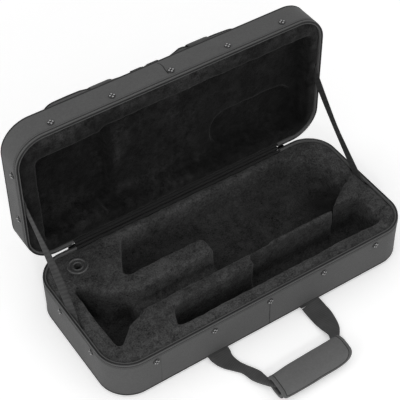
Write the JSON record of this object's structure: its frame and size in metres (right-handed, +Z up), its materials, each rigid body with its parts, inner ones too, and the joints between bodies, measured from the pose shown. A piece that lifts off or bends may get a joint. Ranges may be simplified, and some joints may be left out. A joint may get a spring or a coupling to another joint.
{
  "type": "trumpet case",
  "caption": "Soft zip-around trumpet case with its lid open on stay straps, fitted plush interior, carry handle and lid pocket.",
  "frame": {"origin": "middle of the base's underside, on the surface the case lies on", "axes": "+X to the right along the case's length, +Y towards the hinge, +Z up; the lid stands open"},
  "size_m": [0.5648, 0.4642, 0.3379],
  "materials": {
    "nylon_cover": "matt woven polyester, dark grey",
    "piping": "matt woven polyester folded over a cord",
    "zip_tape": "matt woven tape",
    "zip_teeth": "satin nylon coil",
    "rim_binding": "ribbed binding tape",
    "plush": "short black pile",
    "insert_foam": "cut foam",
    "foam_board": "stiff foam board",
    "webbing": "woven webbing",
    "hinge_fabric": "doubled woven fabric",
    "grip_fabric": "padded woven fabric",
    "hook_tape": "hook tape",
    "loop_tape": "loop tape",
    "black_metal": "black enamel, satin",
    "ring_rubber": "black rubber"
  },
  "bodies": {
    "base": {"base_shell": "foam_board", "base_wall_cover": "nylon_cover", "base_bottom_panel": "nylon_cover", "base_edge_piping": "piping", "base_zip_tape": "zip_tape", "base_zip_teeth": "zip_teeth", "base_rim_binding": "rim_binding", "base_foam": "insert_foam", "base_lining": "plush", "base_rivets": "black_metal", "base_stay_ends": "webbing", "base_handle_tabs": "webbing", "base_hinge_strip": "hinge_fabric", "mouthpiece_ring": "ring_rubber", "stay_left": "webbing", "stay_right": "webbing"},
    "lid": {"lid_shell": "foam_board", "lid_wall_cover": "nylon_cover", "lid_top_panel": "nylon_cover", "lid_edge_piping": "piping", "lid_zip_tape": "zip_tape", "lid_zip_teeth": "zip_teeth", "lid_rim_binding": "rim_binding", "lid_foam": "insert_foam", "lid_lining": "plush", "lid_rivets": "black_metal", "lid_stay_ends": "webbing", "lid_handle_tabs": "webbing", "lid_hinge_strip": "hinge_fabric", "pocket_gusset": "nylon_cover", "pocket_panel": "nylon_cover", "pocket_binding": "piping", "pocket_zip_tape": "zip_tape", "pocket_zip_teeth": "zip_teeth"},
    "carry_handle": {"handle_strap": "webbing", "grip_wrap": "grip_fabric", "grip_binding": "piping", "grip_hook_tape": "hook_tape", "grip_loop_tape": "loop_tape"},
    "lid_handle": {"lid_handle_strap": "webbing"},
    "zip_slider_left": {"zip_slider_left": "black_metal"},
    "zip_slider_right": {"zip_slider_right": "black_metal"},
    "zip_pull_left": {"zip_pull_left": "black_metal"},
    "zip_pull_right": {"zip_pull_right": "black_metal"},
    "pocket_slider_left": {"pocket_slider_left": "black_metal"},
    "pocket_slider_right": {"pocket_slider_right": "black_metal"},
    "pocket_pull_left": {"pocket_pull_left": "black_metal"},
    "pocket_pull_right": {"pocket_pull_right": "black_metal"}
  },
  "joints": [
    {"name": "lid_hinge", "type": "hinge", "parent": "base", "child": "lid", "pos_m": [0, 0.1275, 0.081], "axis": [1, 0, 0], "range_deg": [0, 90], "deforming": ["stay_left", "stay_right"]},
    {"name": "carry_handle_lift", "type": "hinge", "parent": "base", "child": "carry_handle", "pos_m": [0, -0.1314, 0.006], "axis": [-1, 0, 0], "range_deg": [0, 70]},
    {"name": "lid_handle_lift", "type": "hinge", "parent": "lid", "child": "lid_handle", "pos_m": [0, 0.1836, 0.327], "axis": [1, 0, 0], "range_deg": [0, 90]},
    {"name": "zip_slide_left", "type": "slide", "parent": "base", "child": "zip_slider_left", "axis": [-1, 0, 0], "range_m": [0, 0.017]},
    {"name": "zip_slide_right", "type": "slide", "parent": "base", "child": "zip_slider_right", "axis": [1, 0, 0], "range_m": [0, 0.017]},
    {"name": "zip_pull_left_swing", "type": "hinge", "parent": "zip_slider_left", "child": "zip_pull_left", "pos_m": [-0.206, 0.131, 0.0764], "axis": [0, 0, 1], "range_deg": [0, 180]},
    {"name": "zip_pull_right_swing", "type": "hinge", "parent": "zip_slider_right", "child": "zip_pull_right", "pos_m": [0.206, 0.131, 0.0764], "axis": [0, 0, -1], "range_deg": [0, 180]},
    {"name": "pocket_slide_left", "type": "slide", "parent": "lid", "child": "pocket_slider_left", "axis": [-1, 0, 0], "range_m": [0, 0.13]},
    {"name": "pocket_slide_right", "type": "slide", "parent": "lid", "child": "pocket_slider_right", "axis": [1, 0, 0], "range_m": [0, 0.13]},
    {"name": "pocket_pull_left_swing", "type": "hinge", "parent": "pocket_slider_left", "child": "pocket_pull_left", "pos_m": [-0.0268, 0.1895, 0.3223], "axis": [0, 1, 0], "range_deg": [0, 100]},
    {"name": "pocket_pull_right_swing", "type": "hinge", "parent": "pocket_slider_right", "child": "pocket_pull_right", "pos_m": [-0.0152, 0.1895, 0.3223], "axis": [0, -1, 0], "range_deg": [0, 100]}
  ]
}
